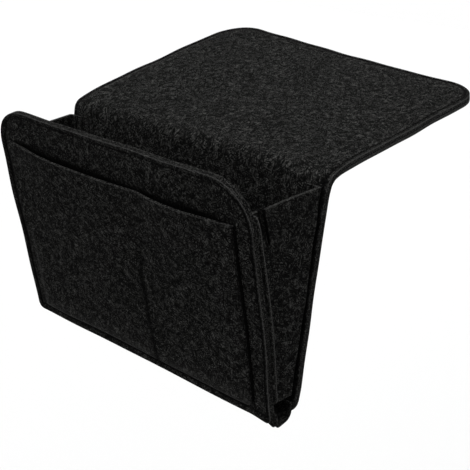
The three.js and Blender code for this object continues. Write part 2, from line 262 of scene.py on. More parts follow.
def felt_sheet(name, x, s, edge, place, seam_up=NO_SEAM, seam_down=NO_SEAM,
               light_up=1.0, light_down=1.0, light_side=0.0, light_cut=0.0, light_bank=0.0,
               round_up=1.0, round_down=1.0, dark=0.0, painted_cut_shade=SIDE_SHADE, seam_shade=1.0,
               middle=0.0, length=None, slit=None):
    """A closed sheet of felt on a grid. x and s are flat places in the cut, which place bends. edge
    is how far each is from the cut edge, seam_up and seam_down how far from the middle of a seam.
    light_up and light_down say how strong the painted highlight on the cut edge's corners is,
    light_side how strong it is on the lower corner on the cut itself, light_cut on the whole cut and
    light_bank on the upper face. round_up and round_down say how round the corners are, dark and
    painted_cut_shade how much painted shade lies on the faces and on the cut, and seam_shade how dark
    the seams are. slit names the grid column that is a slit's first lip, the next one being its second,
    and the row at its foot: below it the two lips are one."""
    rows, columns = x.shape
    index = np.arange(rows * columns).reshape(rows, columns)
    corners = [index[:-1, :-1], index[:-1, 1:], index[1:, 1:], index[1:, :-1]]
    if slit is not None:
        lip, foot_row = slit
        index[: foot_row + 1, lip + 1] = index[: foot_row + 1, lip]
        corners = [np.delete(corner, lip, axis=1) for corner in corners]
    used, quads = np.unique(np.stack(corners, axis=-1).reshape(-1, 4), return_inverse=True)
    quads = quads.reshape(-1, 4)
    count = len(used)

    def kept(value):
        return np.broadcast_to(value, (rows, columns)).ravel()[used]

    x, s, edge, seam_up, seam_down = map(kept, (x, s, edge, seam_up, seam_down))
    upper = middle + FELT / 2 - edge_drop(edge) * kept(round_up) - groove(seam_up)
    lower = middle - FELT / 2 + edge_drop(edge) * kept(round_down) + groove(seam_down)
    first, second = open_sides(quads)
    border = np.unique(first)
    step = len(border)
    rank = np.zeros(count, int)
    rank[border] = np.arange(step)
    drops = [upper[border] - inset for inset in SIDE_INSETS]
    drops += [lower[border] + inset for inset in reversed(SIDE_INSETS)]
    rings = [(first, second)]
    for ring in range(len(drops)):
        begun = 2 * count + ring * step
        rings.append((begun + rank[first], begun + rank[second]))
    rings.append((first + count, second + count))
    sides = [np.stack([b, a, c, d], axis=1) for (a, b), (c, d) in zip(rings, rings[1:])]
    faces = np.concatenate([quads, quads[:, ::-1] + count] + sides)
    level = np.concatenate([upper, lower] + drops)
    flat_x = np.concatenate([x, x] + len(drops) * [x[border]])
    flat_s = np.concatenate([s, s] + len(drops) * [s[border]])
    points = place(flat_x, flat_s, level)
    mesh = bpy.data.meshes.new(name)
    mesh.from_pydata((points - HOLD).tolist(), [], faces.tolist())
    # Painted highlights: on the corners of the cut edge, in banks on the upper face and on the cut
    # itself
    fall = np.clip(1 - edge / EDGE_FADE, 0, 1)
    lit = np.maximum(fall * kept(light_up), kept(light_bank))
    beside = kept(light_cut)[border]
    corner = np.maximum(kept(light_side)[border], beside)
    # The seam attribute: the seams' grooves, dark partly as pressed felt and partly as painted shade,
    # and the painted shade given to the faces and to the cut
    seam_and_painted_shade = np.concatenate([groove(seam_up), groove(seam_down)])
    seam_and_painted_shade = seam_and_painted_shade * np.tile(kept(seam_shade), 2) / GROOVE_DEPTH
    seam_and_painted_shade = np.maximum(seam_and_painted_shade, np.tile(kept(dark), 2))
    shade = np.tile(kept(painted_cut_shade)[border], len(drops))
    add_attribute(mesh, "flat_place", "FLOAT_VECTOR", np.stack([flat_x, flat_s, level], axis=1))
    cut = [lit, fall * kept(light_down)] + 3 * [beside] + [corner]
    add_attribute(mesh, "painted_highlight", "FLOAT", np.concatenate(cut))
    add_attribute(mesh, "seam", "FLOAT", np.concatenate([seam_and_painted_shade, shade]))
    add_attribute(mesh, "cut_face", "FLOAT", np.repeat((0.0, 1.0), (2 * count, len(drops) * step)))
    outwards(mesh)
    piece = placed(name, mesh)
    mesh.materials.append(bpy.data.materials["charcoal felt"])
    drawn = np.ptp(s)
    length = length or drawn
    return piece


def add_attribute(mesh, name, kind, values):
    layer = mesh.attributes.new(name, kind, "POINT")
    field = "vector" if kind == "FLOAT_VECTOR" else "value"
    layer.data.foreach_set(field, np.asarray(values, np.float32).ravel())


def outwards(mesh):
    """Turns every face outwards and shades it smooth."""
    shell = bmesh.new()
    shell.from_mesh(mesh)
    bmesh.ops.recalc_face_normals(shell, faces=shell.faces)
    if shell.calc_volume(signed=True) < 0:
        bmesh.ops.reverse_faces(shell, faces=shell.faces)
    for face in shell.faces:
        face.smooth = True
    shell.to_mesh(mesh)
    shell.free()


class Tree:
    """Short ways to place and join nodes in one tree."""

    def __init__(self, tree):
        self.nodes = tree.nodes
        self.links = tree.links

    def join(self, value, socket):
        if isinstance(value, bpy.types.NodeSocket):
            self.links.new(value, socket)
        else:
            socket.default_value = value

    def put(self, kind, inputs=(), **settings):
        """Adds a node, sets it and its inputs, and gives its outputs."""
        node = self.nodes.new(kind)
        for key, value in settings.items():
            setattr(node, key, value)
        for key, value in dict(inputs).items():
            self.join(value, node.inputs[key])
        return node.outputs

    def maths(self, operation, *values):
        return self.put("ShaderNodeMath", enumerate(values), operation=operation)[0]

    def noise(self, place, scale, detail):
        return self.put("ShaderNodeTexNoise", {"Vector": place, "Scale": scale, "Detail": detail})

    def mix(self, share, first, second):
        return self.put("ShaderNodeMix", {0: share, 6: first, 7: second}, data_type="RGBA")[2]

    def ranged(self, value, least, most, low=0.0, high=1.0, kind="SMOOTHSTEP"):
        """Takes a value between least and most to one between low and high."""
        inputs = {"Value": value, "From Min": least, "From Max": most, "To Min": low, "To Max": high}
        return self.put("ShaderNodeMapRange", inputs, interpolation_type=kind)[0]


class Finish(Tree):
    """The tree of a new material, with its one shader."""

    def __init__(self, name):
        self.material = bpy.data.materials.new(name)
        self.material.use_nodes = True
        super().__init__(self.material.node_tree)
        self.shader = self.nodes["Principled BSDF"]

    def attribute(self, name, output):
        return self.put("ShaderNodeAttribute", attribute_name=name, attribute_type="GEOMETRY")[output]

    def shade(self, colour, roughness, specular=None):
        self.join(colour, self.shader.inputs["Base Color"])
        self.join(roughness, self.shader.inputs["Roughness"])
        if specular is not None:
            self.join(specular, self.shader.inputs["Specular IOR Level"])

    def raise_by(self, height, strength, distance):
        bump = self.put("ShaderNodeBump", {"Height": height, "Strength": strength, "Distance": distance})
        self.join(bump[0], self.shader.inputs["Normal"])


def add_sockets(tree, in_out, kind, *names):
    for name in names:
        tree.interface.new_socket(name, in_out=in_out, socket_type="NodeSocket" + kind)


# The felt's fibres: the size of their patches and strands, and where strands begin and are full
FIBRE_SIZES = ("Patch", "Strand length", "Strand width", "Least", "Most")
LIGHT_FIBRES = (0.006, 0.0140, 0.00085, 0.565, 0.665)
DARK_FIBRES = (0.006, 0.0100, 0.0010, 0.49, 0.59)
LIGHT_TURNS = 6
DARK_TURNS = 4
DARK_SHIFT = 20.0
FIRST_TURN = 0.3
PATCH_RANGE = (0.32, 0.52)
BETWEEN_FIBRES = 0.12
GAP_DEPTH = 0.94


def strand_group():
    """Long fibres that all lie one way, in loose patches of the sheet."""
    group = bpy.data.node_groups.new("felt strands", "ShaderNodeTree")
    add_sockets(group, "INPUT", "Vector", "Place")
    add_sockets(group, "INPUT", "Float", "Angle", "Patch", "Strand length", "Strand width")
    add_sockets(group, "INPUT", "Float", "Shift", "Least", "Most")
    add_sockets(group, "OUTPUT", "Float", "Strands")
    tree = Tree(group)
    entry = tree.put("NodeGroupInput")
    shift = tree.put("ShaderNodeCombineXYZ", {axis: entry["Shift"] for axis in range(3)})
    moved = tree.put("ShaderNodeVectorMath", {0: entry["Place"], 1: shift[0]}, operation="ADD")
    angle = {"Vector": moved[0], "Angle": entry["Angle"]}
    turned = tree.put("ShaderNodeVectorRotate", angle, rotation_type="Z_AXIS")
    thin = tree.maths("DIVIDE", 1.0, entry["Strand width"])
    long = tree.maths("DIVIDE", 1.0, entry["Strand length"])
    stretch = tree.put("ShaderNodeCombineXYZ", {0: long, 1: thin, 2: thin})
    drawn = tree.put("ShaderNodeVectorMath", {0: turned[0], 1: stretch[0]}, operation="MULTIPLY")
    strands = tree.ranged(tree.noise(drawn[0], 1.0, 1.0)["Fac"], entry["Least"], entry["Most"])
    loose = tree.noise(moved[0], tree.maths("DIVIDE", 1.0, entry["Patch"]), 1.0)["Fac"]
    patch = tree.ranged(loose, *PATCH_RANGE)
    tree.put("NodeGroupOutput", {"Strands": tree.maths("MULTIPLY", strands, patch)})
    return group


def fibres_of(felt, strands, place, sizes, turns, shift):
    """The strongest of the strands that lie in each direction."""
    total = 0.0
    for turn in range(turns):
        inputs = dict(zip(FIBRE_SIZES, sizes), Place=place, Shift=shift + turn)
        inputs["Angle"] = math.pi * (turn + FIRST_TURN) / turns
        strand = felt.put("ShaderNodeGroup", inputs, node_tree=strands)["Strands"]
        total = felt.maths("MAXIMUM", total, strand)
    return total


FELT_DARK = (0.0012, 0.0012, 0.0012, 1)
FELT_LIGHT = (0.070, 0.070, 0.067, 1)
# The next colour is a painted highlight for lit cut edges and banks
EDGE_LIGHT = (0.085, 0.085, 0.083, 1)
# The next colour is both the seams' dark and the painted shade
SEAM_AND_SHADE_DARK = (0.0006, 0.0006, 0.0006, 1)
SEAM_SHARE = 0.9
EDGE_FIBRES = 0.6
EDGE_PLAIN = 0.5
SWAY = (0.0035, 0.0035, 0.0035)
SWAY_SCALE = 130
CLOUD_SCALE = 60
CLOUD_RANGE = (0.3, 0.7)
CLOUD_TONES = (0.93, 1.07)
SPECK_SCALE = 800
SPECK_RANGE = (0.44, 0.66)


def charcoal_felt():
    """Light and dark fibres on the faces, specks of cut fibre on the cuts, painted highlights on cut
    edges and banks, and dark seams with painted shade.
    """
    felt = Finish("charcoal felt")
    strands = strand_group()
    place = felt.attribute("flat_place", "Vector")
    sway = {0: felt.noise(place, SWAY_SCALE, 1)["Color"], 1: SWAY, 2: place}
    swayed = felt.put("ShaderNodeVectorMath", sway, operation="MULTIPLY_ADD")[0]
    light = fibres_of(felt, strands, swayed, LIGHT_FIBRES, LIGHT_TURNS, 0.0)
    dark = fibres_of(felt, strands, swayed, DARK_FIBRES, DARK_TURNS, DARK_SHIFT)
    light = felt.maths("MULTIPLY_ADD", light, 1 - BETWEEN_FIBRES, BETWEEN_FIBRES)
    fibres = felt.maths("MULTIPLY", light, felt.maths("MULTIPLY_ADD", dark, -GAP_DEPTH, 1.0))
    cloud = felt.noise(place, CLOUD_SCALE, 3)["Fac"]
    uneven = felt.ranged(cloud, *CLOUD_RANGE, *CLOUD_TONES, kind="LINEAR")
    fibres = felt.maths("MINIMUM", felt.maths("MULTIPLY", fibres, uneven), 1.0)
    ends = felt.ranged(felt.noise(place, SPECK_SCALE, 2)["Fac"], *SPECK_RANGE)
    cut = felt.attribute("cut_face", "Fac")
    fibres = felt.maths("MULTIPLY", felt.maths("SUBTRACT", 1.0, cut), fibres)
    fibres = felt.maths("ADD", felt.maths("MULTIPLY", cut, ends), fibres)
    body = felt.mix(fibres, FELT_DARK, FELT_LIGHT)
    # Painted highlight on the cut edges and banks, broken up by the fibres
    painted_edge_highlight = felt.maths("MULTIPLY_ADD", fibres, EDGE_FIBRES, EDGE_PLAIN)
    painted_edge_highlight = felt.maths("MULTIPLY", felt.attribute("painted_highlight", "Fac"), painted_edge_highlight)
    body = felt.mix(painted_edge_highlight, body, EDGE_LIGHT)
    # The seam attribute darkens the seams and lays on the painted shade
    seam = felt.maths("MULTIPLY", felt.attribute("seam", "Fac"), SEAM_SHARE)
    felt.shade(felt.mix(seam, body, SEAM_AND_SHADE_DARK), roughness=0.95, specular=0.03)
    felt.raise_by(fibres, strength=0.6, distance=0.0005)


THREAD_DARK = (0.0006, 0.0006, 0.0006, 1)
THREAD_LIGHT = (0.0025, 0.0025, 0.0025, 1)
THREAD_SCALE = 2500


def dull_thread():
    thread = Finish("dull thread")
    where = thread.put("ShaderNodeTexCoord")["Object"]
    twist = thread.noise(where, THREAD_SCALE, 2)["Fac"]
    thread.shade(thread.mix(twist, THREAD_DARK, THREAD_LIGHT), roughness=0.8, specular=0.04)
    thread.raise_by(twist, strength=0.5, distance=0.0001)


# Back and flap: two long sheets that turn over at the fold. The flap hangs with a slight twist.
LONG_WAVES = (11, 0.0003, 0.04, 0.12)
NEAR_FOLD = 0.03
FOLD_TWIST = 0.0023
FOLD_TWIST_REACH = 0.06
FLAP_TWIST = 0.0097
FLAP_LIFT = 0.0012
LEFT_LIFT = 0.0026
LEFT_LIFT_LEAN = 0.6
LEFT_LIFT_FROM = 0.2
FAR_SAG = 0.0010
FAR_SAG_FROM = 0.5
FAR_CORNER = 0.0022
FAR_CORNER_FROM = (0.4, 0.7)
EDGE_PUFF = 0.2
PUFF_REACH = 0.012
STACK_MIDDLE = FOLD_RADIUS + (LAYER + FELT) / 2

# Outside the flange's seam the back's free edges curl off, and the fold's right end turns softly
EDGE_CURL = 0.0018
CURL_FOOT = (0.004, 0.03)
FOLD_CURL = 0.0004
FOLD_CURL_REACH = 0.05
LEFT_CURL_SHARE = 0.4
SOFT_TURN = 0.0030
SOFT_REACH = 0.011
SOFT_WIDTH = 0.05
SOFT_BACK = 0.8
SOFT_DOWN = 0.6


def back_and_flap(x, s, level):
    """level is how far a point is from the fold's own centre."""
    turn = np.clip((s - FOLD_HEIGHT) / FOLD_MIDDLE, 0, FOLD_TURN)
    along = np.maximum(s - FLAP_START, 0)
    past_fold = smooth(along, 0, NEAR_FOLD)
    level = level + waves(x, s, *LONG_WAVES)
    puff = EDGE_PUFF * smooth(x, HALF - PUFF_REACH, HALF) * past_fold
    level = level + puff * (level - STACK_MIDDLE)
    y = FOLD_RADIUS + along * math.cos(FLAP_RISE) - level * np.cos(turn)
    z = np.minimum(s, FOLD_HEIGHT) + along * math.sin(FLAP_RISE) + level * np.sin(turn)
    across = x / HALF
    gone = np.clip(along / FLAP_LENGTH, 0, 1)
    raised = FOLD_TWIST * smooth(s, FOLD_HEIGHT - FOLD_TWIST_REACH, FOLD_HEIGHT)
    raised = raised + FLAP_TWIST * along / FLAP_LENGTH
    lifted = FLAP_LIFT * smooth(s, FOLD_HEIGHT - NEAR_FOLD, FLAP_START)
    left_lift = LEFT_LIFT * np.sin(math.pi * gone**LEFT_LIFT_LEAN)
    lifted = lifted + left_lift * smooth(-across, LEFT_LIFT_FROM, 1)
    lifted = lifted - FAR_SAG * smooth(gone, FAR_SAG_FROM, 1) * (1 - across**2)
    free = smooth(np.abs(x), FLANGE_SEAM, HALF) * smooth(s, *CURL_FOOT) * (1 - past_fold)
    curl = EDGE_CURL + FOLD_CURL * smooth(s, FOLD_HEIGHT - FOLD_CURL_REACH, FOLD_HEIGHT)
    soft = SOFT_TURN * bell(s - FOLD_HEIGHT, FOLD_LENGTH / 2, SOFT_REACH)
    soft = soft * smooth(x, HALF - SOFT_WIDTH, HALF)
    curl = free * curl * np.where(x > 0, 1, LEFT_CURL_SHARE) + SOFT_BACK * soft
    lifted = lifted - SOFT_DOWN * soft
    side, far = FAR_CORNER_FROM
    corner = FAR_CORNER * smooth(across, side, 1) * smooth(gone, far, 1)
    y = y + curl + corner / 2
    z = z - across * raised + lifted + corner / 2
    return np.stack([x + corner, y, z], axis=1)


# Painted light on the long sheets: painted highlights on their cut edges and in a bank beside the
# flap's left seam, and a strip of painted shade between the gusset and the back's free edge
BACK_LIT = 0.4
FLAP_LIT = 1.0
FLAP_LIT_REACH = 0.02
FLAP_CUT_LIT = (0.55, 0.15)
BANK_AT = 0.0066
BANK_HALF = 0.0014
BANK_LIT = 0.45
PAST_BANK = 0.001
GUSSET_TOP_FADE = (GUSSET_TOP_BACK - 0.004, GUSSET_TOP_BACK + 0.006)
IN_POUCH_UNLIT = 0.7
STRIP_EDGE = 0.0020
STRIP_FADE = (HALF - 0.009, HALF - 0.006)
STRIP_SHADE = 0.9
FOLD_BAND = (FOLD_HEIGHT - 0.012, FLAP_START + 0.012)
FOLD_STEP = 0.0012


def long_sheet(name, index):
    inner = index == 1
    bank_line = -HALF + BANK_AT + PAST_BANK
    x_lines = grid_lines(-HALF, HALF, (-HALF + SEAM_INSET, bank_line, HALF - SEAM_INSET))
    s_lines = grid_lines(0, FLAP_END, (SEAM_INSET, FLAP_END - SEAM_INSET))
    s_lines = finer(s_lines, *FOLD_BAND, FOLD_STEP)
    x, s = np.meshgrid(x_lines, s_lines)
    edge = from_edge(x, s, -HALF, HALF, 0, FLAP_END)
    seam = edge - SEAM_INSET
    x, s = rounded_panel(x, s, -HALF, HALF, 0, FLAP_END, BACK_FOOT_CORNER, FLAP_CORNER)
    lit = BACK_LIT + (FLAP_LIT - BACK_LIT) * smooth(s, FOLD_HEIGHT - FLAP_LIT_REACH, FLAP_START)
    on_flap = smooth(s, FLAP_START, FLAP_START + NEAR_FOLD)
    bank = BANK_LIT * inner * on_flap * bell(HALF + x, BANK_AT, BANK_HALF)
    pouch = (1 - smooth(s, *GUSSET_TOP_FADE)) * inner
    # Painted shade in a strip inside the pouch by the back's free edge
    strip = smooth(HALF - np.abs(x), 0, STRIP_EDGE) * smooth(np.abs(x), *STRIP_FADE)
    middle = FOLD_RADIUS + FELT / 2 + index * LAYER
    return felt_sheet(
        name, x, s, edge, back_and_flap, middle=middle,
        length=FOLD_HEIGHT + middle * FOLD_TURN + FLAP_LENGTH,
        seam_up=seam if inner else NO_SEAM, seam_down=NO_SEAM if inner else seam,
        light_up=lit * inner * (1 - IN_POUCH_UNLIT * pouch), light_down=lit * (not inner),
        light_bank=bank * (s < FLAP_END - FLAP_CORNER), light_cut=FLAP_CUT_LIT[index] * on_flap,
        round_up=float(inner), round_down=float(not inner),
        dark=strip * pouch * STRIP_SHADE, painted_cut_shade=SIDE_SHADE * (1 - pouch / 2),
    )


# Front panel: two sheets of one outline, a little uneven, with a drooping right foot corner
FRONT_WAVES = (21, 0.0005, 0.05, 0.15)
LEFT_RAISE = 0.0035
CORNER_DROOP = 0.0033
INNER_DROOP = 3.0
DROOP_REACH = 0.028
DROOP_RISE = 0.040
EDGE_BOW = 0.0016
LOW_BOW = 1.9
BOW_REACH = 0.03
BOW_TURN = 0.28

# Where the seams of the front panel run beside the usual inset
LEFT_ASIDE = 0.0029
RIGHT_ASIDE = 0.0014
FOOT_UP = 0.0030


def corner_droop(x):
    """How far the foot hangs down towards its right end."""
    return CORNER_DROOP * smooth(x, HALF - DROOP_REACH, HALF)


def edge_bow(x, s):
    """The right end swings out a little halfway up and in near the foot."""
    turn = np.sin(2 * math.pi * np.clip(s / FRONT_SLOPE - BOW_TURN, -BOW_TURN, 0.5))
    return EDGE_BOW * smooth(x, HALF - BOW_REACH, HALF) * turn * np.where(turn < 0, LOW_BOW, 1)


def on_front(x, s, level):
    inward = np.clip((-level - FELT) / LAYER, 0, 1)
    level = level + waves(x, s, *FRONT_WAVES)
    x = x + edge_bow(x, s)
    s = s + LEFT_RAISE * np.clip((HALF - x) / WIDTH, 0, 1) * smooth(s, 0, FRONT_SLOPE)
    s = s - corner_droop(x) * (1 + INNER_DROOP * inward) * (1 - smooth(s, 0, DROOP_RISE))
    y = -FOOT_DEPTH - s * math.sin(LEAN) - level * math.cos(LEAN)
    z = s * math.cos(LEAN) - level * math.sin(LEAN)
    return np.stack([x, y, z], axis=1)


# Painted light on the front: dark lines by its left and foot seams, partly the seams' own dark and
# partly painted shade, painted shade by the pocket's left edge and painted shadow behind the
# pocket, painted highlights on the corners of its cut edge, and more painted shade on its top cut
LEFT_LINE_HALF = 0.0025
LEFT_LINE_DARK = 1.06
FOOT_LINE_HALF = 0.0014
BESIDE_SHADE = 0.45
BESIDE_PLACE = (-0.002, 0.0022)
BESIDE_FADE = (0.06, 0.13)
BEHIND_FADE = 0.0016
BEHIND_SIDE = (0.001, 0.003)
BEHIND_FOOT = 0.004
AT_TOP = 0.002
TOP_LIT = 0.5
LOW_LIT = 1.2
LIT_LOSS = 0.5
LIT_FADE = (0.05, 0.15)
INNER_LIT = 0.4
INNER_ROUND = 0.3
TOP_SEAM_LOSS = 0.6
TOP_SEAM_FADE = (FRONT_SLOPE - 0.012, FRONT_SLOPE - 0.006)
TOP_CUT_SHADE = 0.4
TOP_CUT_FROM = FRONT_SLOPE - FRONT_TOP_CORNER * 0.8


def front_sheet(name, index):
    outer = index == 0
    left_seam = -HALF + SEAM_INSET + LEFT_ASIDE
    right_seam = HALF - SEAM_INSET + RIGHT_ASIDE
    foot_seam = SEAM_INSET + FOOT_UP
    top_seam = FRONT_SLOPE - SEAM_INSET
    x_lines = grid_lines(-HALF, HALF, (left_seam, right_seam))
    s_lines = grid_lines(0, FRONT_SLOPE, (foot_seam, top_seam))
    x, s = np.meshgrid(x_lines, s_lines)
    edge = from_edge(x, s, -HALF, HALF, 0, FRONT_SLOPE)
    inside = np.minimum(x - left_seam, s - foot_seam)
    seam = from_edge(x, s, left_seam, right_seam, foot_seam, top_seam)
    by_left = x - left_seam < s - foot_seam
    line = bell(inside, 0, np.where(by_left, LEFT_LINE_HALF, FOOT_LINE_HALF))
    line = line * np.where(by_left, LEFT_LINE_DARK, 1)
    line = line * (s < FRONT_SLOPE - FRONT_TOP_CORNER / 2) * (x < right_seam)
    # Painted shade beside the pocket's left edge
    beside = bell(x + POCKET_LEFT, *BESIDE_PLACE) * (1 - smooth(s, *BESIDE_FADE))
    line = np.maximum(line, BESIDE_SHADE * beside)
    x, s = rounded_panel(x, s, -HALF, HALF, 0, FRONT_SLOPE, FRONT_FOOT_CORNER, FRONT_TOP_CORNER)
    # Painted shadow inside the pocket's mouths, on the face that the pocket covers
    behind = smooth(pocket_top(x) + mouth_rise(x) + BEHIND_FADE - s, 0, BEHIND_FADE)
    behind = behind * smooth(np.minimum(x + POCKET_LEFT, POCKET_RIGHT - x), *BEHIND_SIDE)
    behind = behind * smooth(s, POCKET_FOOT, POCKET_FOOT + BEHIND_FOOT)
    top_part = s > FRONT_SLOPE - AT_TOP
    lit = outer * np.where(top_part, TOP_LIT, LOW_LIT - LIT_LOSS * smooth(s, *LIT_FADE))
    return felt_sheet(
        name, x, s, edge, on_front, middle=-FELT / 2 - index * LAYER,
        seam_up=seam if outer else NO_SEAM, seam_down=NO_SEAM if outer else seam,
        light_up=lit, light_down=INNER_LIT * (not outer), round_up=float(outer),
        round_down=INNER_ROUND * (not outer), dark=np.maximum(behind, line) * outer,
        seam_shade=1 - TOP_SEAM_LOSS * smooth(s, *TOP_SEAM_FADE),
        painted_cut_shade=np.where(s > TOP_CUT_FROM, TOP_CUT_SHADE, SIDE_SHADE),
    )


# Front pocket: one sheet whose two mouths stand out a little
LEFT_BULGE = 0.0048
RIGHT_BULGE = 0.0050
SEAM_LOOSE = 0.0034
LOOSE_REACH = 0.05
LOOSE_FROM = 0.62
RIGHT_SHIFT = 0.0010
MOUTH_RISE = 0.0016
SEAM_HEIGHTS = (0.013, 0.06, 0.10, 0.175)
SEAM_LEANS = (0.0080, 0.0052, 0.0050, 0.0140)
SEAM_BAND = (POCKET_SEAM - 0.005, POCKET_SEAM + SEAM_LEANS[-1] + 0.004)
SEAM_STEP = 0.0011
SEAM_ROOM = 0.001


def pocket_top(x):
    share = (x + POCKET_LEFT) / (POCKET_LEFT + POCKET_RIGHT)
    return POCKET_TOP_LEFT + share * (POCKET_TOP_RIGHT - POCKET_TOP_LEFT)


def mouth_rise(x):
    """The right mouth's edge is drawn up a little in its middle."""
    across = np.clip((x - POCKET_SEAM) / (POCKET_RIGHT - POCKET_SEAM), 0, 1)
    return MOUTH_RISE * np.sin(math.pi * across)


def seam_line(s):
    """The seam between the two pockets leans to the right higher up, where the felt hangs loose."""
    return POCKET_SEAM + np.interp(s, SEAM_HEIGHTS, SEAM_LEANS)


def pocket_bulge(x, s):
    seam = seam_line(s)
    right = x > seam
    start = np.where(right, seam, -POCKET_LEFT + POCKET_HEM)
    end = np.where(right, POCKET_RIGHT - POCKET_HEM, seam)
    across = np.clip((x - start) / (end - start), 0, 1)
    upward = np.clip((s - POCKET_FOOT - POCKET_HEM) / (pocket_top(x) - POCKET_FOOT - POCKET_HEM), 0, 1)
    bow = np.sin(math.pi * across)
    rise = 1 - np.cos(math.pi / 2 * upward)
    sides = np.clip(np.minimum(x + POCKET_LEFT, POCKET_RIGHT - x) / LOOSE_REACH, 0, 1)
    loose = SEAM_LOOSE * sides * smooth(upward, LOOSE_FROM, 1)
    return np.where(right, RIGHT_BULGE, LEFT_BULGE) * bow * rise + loose


def on_pocket(x, s, level):
    shift = RIGHT_SHIFT * smooth(x, POCKET_SEAM, POCKET_RIGHT)
    raised = mouth_rise(x) * smooth(s, POCKET_FOOT, pocket_top(x))
    return on_front(x + shift, s + raised, level + pocket_bulge(x, s))


# Painted light on the pocket: painted shade in the valley along its middle seam, painted highlight
# banks inside its foot and low down inside its left edge, a painted shade dip before that bank, and
# painted shadow on its sewn cuts and along its right edge
VALLEY_SHADE = 0.95
VALLEY_HALF = 0.0040
VALLEY_STEEP = 1.5
VALLEY_FADE = (0.09, 0.18)
FOOT_BANK = 0.30
FOOT_BANK_REACH = 0.006
LEFT_BANK = 0.42
LEFT_BANK_AT = 0.0080
LEFT_BANK_HALF = 0.0024
LEFT_DIP = 0.34
LEFT_DIP_AT = 0.0028
LOW_FADE = (0.05, 0.13)
RIM_WIDTH = 0.0012
RIM_FADE = (0.0001, 0.0008)
AT_FOOT = 0.001
FOOT_LIT = 1.1
SIDE_LIT = 0.2
MOUTH_LIT = 0.25
POCKET_ROUND = (0.6, 0.3)
POCKET_SEAM_SHADE = 0.3


def pocket_sheet(name):
    left_seam = -POCKET_LEFT + POCKET_INSET
    right_seam = POCKET_RIGHT - POCKET_INSET
    x_lines = grid_lines(-POCKET_LEFT, POCKET_RIGHT, (left_seam, LEFT_BANK_AT - POCKET_LEFT, right_seam))
    x_lines = finer(x_lines, *SEAM_BAND, SEAM_STEP, SEAM_ROOM)
    top = (POCKET_TOP_LEFT + POCKET_TOP_RIGHT) / 2
    s_lines = grid_lines(POCKET_FOOT, top, (POCKET_FOOT + POCKET_INSET,))
    x, s = np.meshgrid(x_lines, s_lines)
    sewn = np.minimum(np.minimum(x + POCKET_LEFT, POCKET_RIGHT - x), s - POCKET_FOOT)
    edge = np.minimum(sewn, top - s)
    x, s = rounded_panel(x, s, -POCKET_LEFT, POCKET_RIGHT, POCKET_FOOT, top, POCKET_FOOT_CORNER, 0)
    s = s + (pocket_top(x) - top) * (s - POCKET_FOOT) / (top - POCKET_FOOT)
    from_left = x + POCKET_LEFT
    low = 1 - smooth(s, *LOW_FADE)
    # Painted shadow on the sewn cuts and along the right edge
    hidden = 1 - smooth(sewn, *RIM_FADE)
    rim = hidden * (POCKET_RIGHT - x < RIM_WIDTH)
    # Painted shade in the valley beside the middle seam
    valley = (x - seam_line(s) + VALLEY_HALF) / VALLEY_HALF
    valley = bell(valley * np.where(valley > 0, VALLEY_STEEP, 1), 0, 1)
    valley = VALLEY_SHADE * valley * (1 - smooth(s, *VALLEY_FADE))
    dip = LEFT_DIP * low * bell(from_left, LEFT_DIP_AT, LEFT_BANK_HALF)
    lit = np.where(s - POCKET_FOOT < AT_FOOT, FOOT_LIT, SIDE_LIT)
    lit = np.where(hidden > 0, lit, MOUTH_LIT) * (1 - rim)
    bank = FOOT_BANK * np.exp(-np.maximum(s - POCKET_FOOT, 0) / FOOT_BANK_REACH)
    bank = np.maximum(bank, LEFT_BANK * low * bell(from_left, LEFT_BANK_AT, LEFT_BANK_HALF))
    return felt_sheet(
        name, x, s, edge, on_pocket, middle=CLEARANCE + FELT / 2,
        seam_up=right_seam - x, seam_shade=POCKET_SEAM_SHADE, round_up=POCKET_ROUND[0],
        round_down=POCKET_ROUND[1], light_up=lit, light_down=0.0, light_bank=bank * (1 - rim),
        dark=np.maximum(np.maximum(valley, rim), dip), painted_cut_shade=np.maximum(hidden, SIDE_SHADE),
    )


def bent_line(corners, radius, along=None):
    """A bent sheet's middle line: straight runs from corner to corner, turned there at one radius.
    Gives the place at a length along it and the way square to the sheet there, or, without a length,
    the lengths at which each run and each bend ends."""
    points = [np.stack(np.broadcast_arrays(*corner), axis=-1).astype(float) for corner in corners]
    place, normal, stops = 0.0, 0.0, []
    begun, cut_before = 0.0, 0.0
    for i in range(len(points) - 1):
        run = points[i + 1] - points[i]
        length = np.linalg.norm(run, axis=-1)
        ahead = run / length[..., None]
        side = np.stack([-ahead[..., 1], ahead[..., 0]], axis=-1)
        turn = np.zeros_like(length)
        if i + 2 < len(points):
            after = points[i + 2] - points[i + 1]
            cross = ahead[..., 0] * after[..., 1] - ahead[..., 1] * after[..., 0]
            turn = np.arctan2(cross, (ahead * after).sum(axis=-1))
        cut_after = radius * np.tan(np.abs(turn) / 2)
        if along is not None:
            here = (along >= begun)[..., None]
            gone = (cut_before + along - begun)[..., None]
            place = np.where(here, points[i] + ahead * gone, place)
            normal = np.where(here, side, normal)
        begun = begun + length - cut_before - cut_after
        stops.append(begun)
        if along is not None and i + 2 < len(points):
            here = (along >= begun)[..., None]
            sign = np.sign(turn)
            angle = sign * np.minimum((along - begun) / radius, np.abs(turn))
            centre = points[i + 1] - ahead * cut_after[..., None] + side * (sign * radius)[..., None]
            turned_x = side[..., 0] * np.cos(angle) - side[..., 1] * np.sin(angle)
            turned_y = side[..., 0] * np.sin(angle) + side[..., 1] * np.cos(angle)
            turned = np.stack([turned_x, turned_y], axis=-1)
            place = np.where(here, centre - turned * (sign * radius)[..., None], place)
            normal = np.where(here, turned, normal)
        begun = begun + radius * np.abs(turn)
        stops.append(begun)
        cut_before = cut_after
    return stops[:-1] if along is None else (place, normal)


def front_seat(z):
    """How far forward a piece's middle lies where it is sewn to the inside of the front."""
    return -FOOT_DEPTH - z * math.tan(LEAN) + FRONT_SEAT


